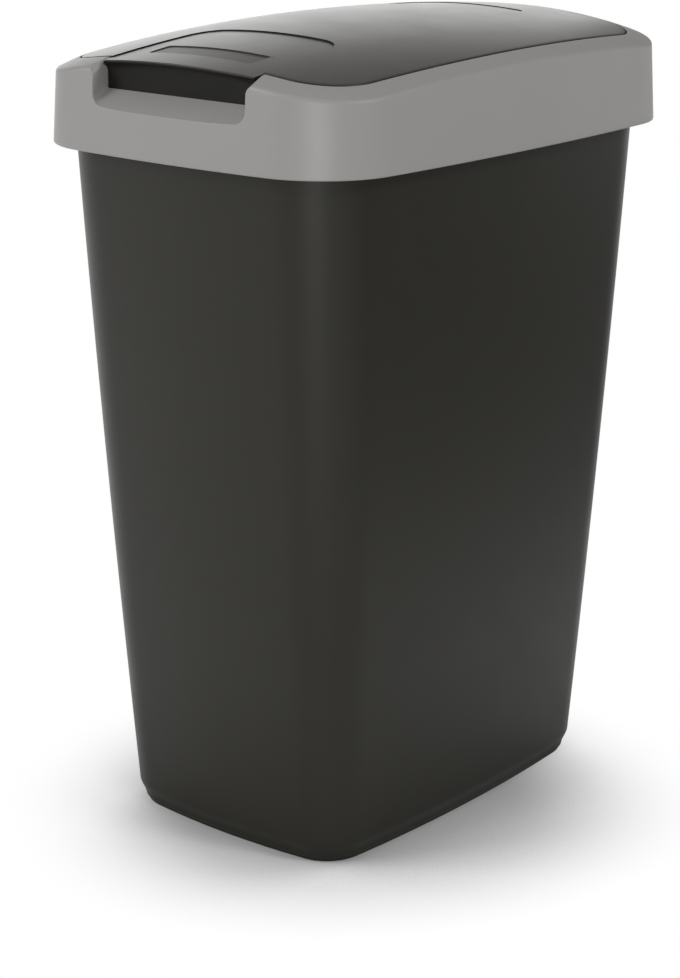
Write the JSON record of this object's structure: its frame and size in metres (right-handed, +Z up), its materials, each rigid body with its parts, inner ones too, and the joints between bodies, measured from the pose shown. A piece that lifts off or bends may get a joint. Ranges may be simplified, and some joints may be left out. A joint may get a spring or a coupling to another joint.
{
  "type": "household waste bin",
  "caption": "Tapered kitchen bin with a lift-off collar that holds the bag and a hinged inset lid, opened by a lip over a grip notch.",
  "frame": {"origin": "centre of the underside, on the floor", "axes": "+Z up, -Y towards the front with the grip notch, +X to the right seen from the front"},
  "size_m": [0.259, 0.3648, 0.5088],
  "materials": {
    "bucket_plastic": "satin, near black",
    "collar_plastic": "fine matt, warm mid grey",
    "lid_plastic": "satin gloss, warm charcoal",
    "pin_plastic": "moulded, black"
  },
  "bodies": {
    "bucket": {"bucket": "bucket_plastic"},
    "collar": {"collar": "collar_plastic", "hinge_pin_left": "pin_plastic", "hinge_pin_right": "pin_plastic"},
    "lid": {"lid": "lid_plastic"}
  },
  "joints": [
    {"name": "collar_lift", "type": "slide", "parent": "bucket", "child": "collar", "axis": [0, 0, 1], "range_m": [0, 0.08]},
    {"name": "lid_hinge", "type": "hinge", "parent": "collar", "child": "lid", "pos_m": [0, 0.1413, 0.49607], "axis": [-1, 0, 0], "range_deg": [0, 95]}
  ]
}
